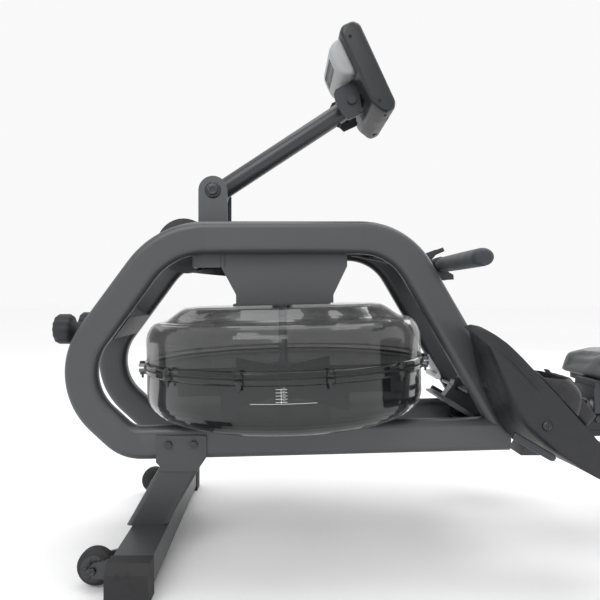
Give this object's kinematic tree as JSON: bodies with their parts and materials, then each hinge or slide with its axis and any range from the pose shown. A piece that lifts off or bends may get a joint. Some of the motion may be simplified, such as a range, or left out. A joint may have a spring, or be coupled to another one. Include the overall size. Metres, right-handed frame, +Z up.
{
  "type": "rowing machine",
  "caption": "Water-tank rowing machine with bent-tube side loops, rolling seat on a sloping rail, footplates with heel cups, strap-drive handle and a console on a folding mast.",
  "frame": {"origin": "on the floor, in the middle of the machine's length and width", "axes": "+Z up, +X from the tank end towards the rear end of the rail, +Y to the rower's right"},
  "size_m": [2, 0.524, 0.919],
  "materials": {
    "frame_paint": "fine metallic grey powder coat, semi-gloss",
    "leg_paint": "grey powder coat, semi-gloss",
    "dark_paint": "dark grey powder coat, satin",
    "rail_black": "black anodised, satin",
    "steel": "zinc plated",
    "tank_shell": "smoked clear, glossy",
    "plastic_dark": "fine textured",
    "plastic_grey": "fine textured",
    "plastic_light": "fine textured",
    "roller_white": "smooth",
    "rubber": "matt",
    "foam": "matt closed-cell foam",
    "webbing": "woven",
    "strap_web": "woven",
    "seat_pad": "soft grained vinyl",
    "screen": "dark display window",
    "button": "satin"
  },
  "bodies": {
    "frame": {"left_loop": "frame_paint", "right_loop": "frame_paint", "mast_base": "frame_paint", "front_cross_beam": "frame_paint", "tank_hanger": "frame_paint", "tank_stay": "steel", "rail_bracket": "dark_paint", "front_legs": "leg_paint", "front_stabiliser": "leg_paint", "storage_feet": "rubber", "end_plugs": "plastic_dark", "frame_bolts": "steel", "tank_lower": "tank_shell", "tank_upper": "tank_shell", "tank_gasket": "rubber", "tank_bolts": "steel", "fill_plug": "plastic_dark", "bearing_housing": "plastic_dark", "roller_axles": "steel", "drive_strap": "webbing", "recoil_cord": "webbing", "mast_clevis": "frame_paint", "handle_cradle": "dark_paint", "rail": "rail_black", "rail_stops": "rubber", "rear_leg": "leg_paint", "rear_stabiliser": "leg_paint", "stabiliser_caps": "rubber", "foot_carrier": "dark_paint", "left_footplate": "plastic_dark", "right_footplate": "plastic_dark", "foot_straps": "strap_web"},
    "left_wheel": {"left_transport_wheel": "rubber"},
    "right_wheel": {"right_transport_wheel": "rubber"},
    "impeller_body": {"impeller_shaft": "steel", "impeller": "plastic_dark"},
    "spool": {"strap_spool": "plastic_dark"},
    "pulley": {"front_pulley": "plastic_grey"},
    "guide": {"guide_roller": "plastic_dark"},
    "cord_pulley": {"cord_roller": "plastic_dark"},
    "mast": {"mast_arm": "dark_paint"},
    "console": {"console_bracket": "dark_paint", "console_body": "plastic_grey", "console_rear": "plastic_light", "console_screen": "screen"},
    "button_left": {"left_button": "button"},
    "button_middle": {"middle_button": "button"},
    "button_right": {"right_button": "button"},
    "handle": {"handle_bar": "steel", "handle_grips": "foam", "handle_yoke": "plastic_dark", "strap_lead": "webbing"},
    "cup_left": {"left_heel_cup": "plastic_grey"},
    "cup_right": {"right_heel_cup": "plastic_grey"},
    "seat": {"seat_cushion": "seat_pad", "seat_base": "plastic_grey", "seat_carriage": "dark_paint"},
    "rollers_front": {"front_rollers": "roller_white"},
    "rollers_rear": {"rear_rollers": "roller_white"},
    "rollers_guard": {"guard_rollers": "roller_white"}
  },
  "joints": [
    {"name": "left_wheel_spin", "type": "hinge", "parent": "frame", "child": "left_wheel", "pos_m": [-0.8835, -0.205, 0.032], "axis": [0, 1, 0], "continuous": true},
    {"name": "right_wheel_spin", "type": "hinge", "parent": "frame", "child": "right_wheel", "pos_m": [-0.8835, 0.205, 0.032], "axis": [0, 1, 0], "continuous": true},
    {"name": "impeller_spin", "type": "hinge", "parent": "frame", "child": "impeller_body", "pos_m": [-0.5975, 0, 0.322], "axis": [-0.0253, 0, 0.9997], "continuous": true},
    {"name": "handle_pull", "type": "slide", "parent": "frame", "child": "handle", "axis": [1, 0, 0], "range_m": [0, 0.9], "stiffness_N_per_m": 60, "springref_m": -0.3, "deforming": ["strap_lead"]},
    {"name": "spool_spin", "type": "hinge", "parent": "frame", "child": "spool", "pos_m": [-0.5975, 0, 0.322], "axis": [-0.0253, 0, 0.9997], "continuous": true},
    {"name": "pulley_spin", "type": "hinge", "parent": "frame", "child": "pulley", "pos_m": [-0.782, 0, 0.535], "axis": [0, 1, 0], "continuous": true},
    {"name": "guide_spin", "type": "hinge", "parent": "frame", "child": "guide", "pos_m": [-0.3715, 0, 0.5144], "axis": [0, 1, 0], "continuous": true},
    {"name": "cord_roller_spin", "type": "hinge", "parent": "frame", "child": "cord_pulley", "pos_m": [-0.4115, 0, 0.52], "axis": [0, 0, 1], "continuous": true},
    {"name": "mast_tilt", "type": "hinge", "parent": "frame", "child": "mast", "pos_m": [-0.725, 0, 0.632], "axis": [0, 1, 0], "range_deg": [-30, 12]},
    {"name": "console_tilt", "type": "hinge", "parent": "mast", "child": "console", "pos_m": [-0.47426, 0, 0.7967], "axis": [0, 1, 0], "range_deg": [-25, 25]},
    {"name": "left_button_press", "type": "slide", "parent": "console", "child": "button_left", "axis": [-0.9078, 0, -0.4194], "range_m": [0, 0.0015], "stiffness_N_per_m": 300, "springref_m": -0.001},
    {"name": "middle_button_press", "type": "slide", "parent": "console", "child": "button_middle", "axis": [-0.9078, 0, -0.4194], "range_m": [0, 0.0015], "stiffness_N_per_m": 300, "springref_m": -0.001},
    {"name": "right_button_press", "type": "slide", "parent": "console", "child": "button_right", "axis": [-0.9078, 0, -0.4194], "range_m": [0, 0.0015], "stiffness_N_per_m": 300, "springref_m": -0.001},
    {"name": "left_heel_cup_slide", "type": "slide", "parent": "frame", "child": "cup_left", "axis": [0.682, 0, -0.7314], "range_m": [-0.03, 0.06]},
    {"name": "right_heel_cup_slide", "type": "slide", "parent": "frame", "child": "cup_right", "axis": [0.682, 0, -0.7314], "range_m": [-0.03, 0.06]},
    {"name": "seat_slide", "type": "slide", "parent": "frame", "child": "seat", "axis": [0.9997, 0, 0.0253], "range_m": [0, 0.76]},
    {"name": "front_roller_spin", "type": "hinge", "parent": "seat", "child": "rollers_front", "pos_m": [-0.00649, 0, 0.24459], "axis": [0, 1, 0], "continuous": true},
    {"name": "rear_roller_spin", "type": "hinge", "parent": "seat", "child": "rollers_rear", "pos_m": [0.17146, 0, 0.2491], "axis": [0, 1, 0], "continuous": true},
    {"name": "guard_roller_spin", "type": "hinge", "parent": "seat", "child": "rollers_guard", "pos_m": [0.08425, 0, 0.17727], "axis": [0, 1, 0], "continuous": true}
  ],
  "couplings": [
    {"joint": "spool_spin", "follows": "handle_pull", "rad_per_m": 27.778},
    {"joint": "pulley_spin", "follows": "handle_pull", "rad_per_m": 21.552},
    {"joint": "guide_spin", "follows": "handle_pull", "rad_per_m": -64.935},
    {"joint": "cord_roller_spin", "follows": "handle_pull", "rad_per_m": 26.984},
    {"joint": "front_roller_spin", "follows": "seat_slide", "rad_per_m": 52.632},
    {"joint": "rear_roller_spin", "follows": "seat_slide", "rad_per_m": 52.632},
    {"joint": "guard_roller_spin", "follows": "seat_slide", "rad_per_m": -90.909}
  ]
}
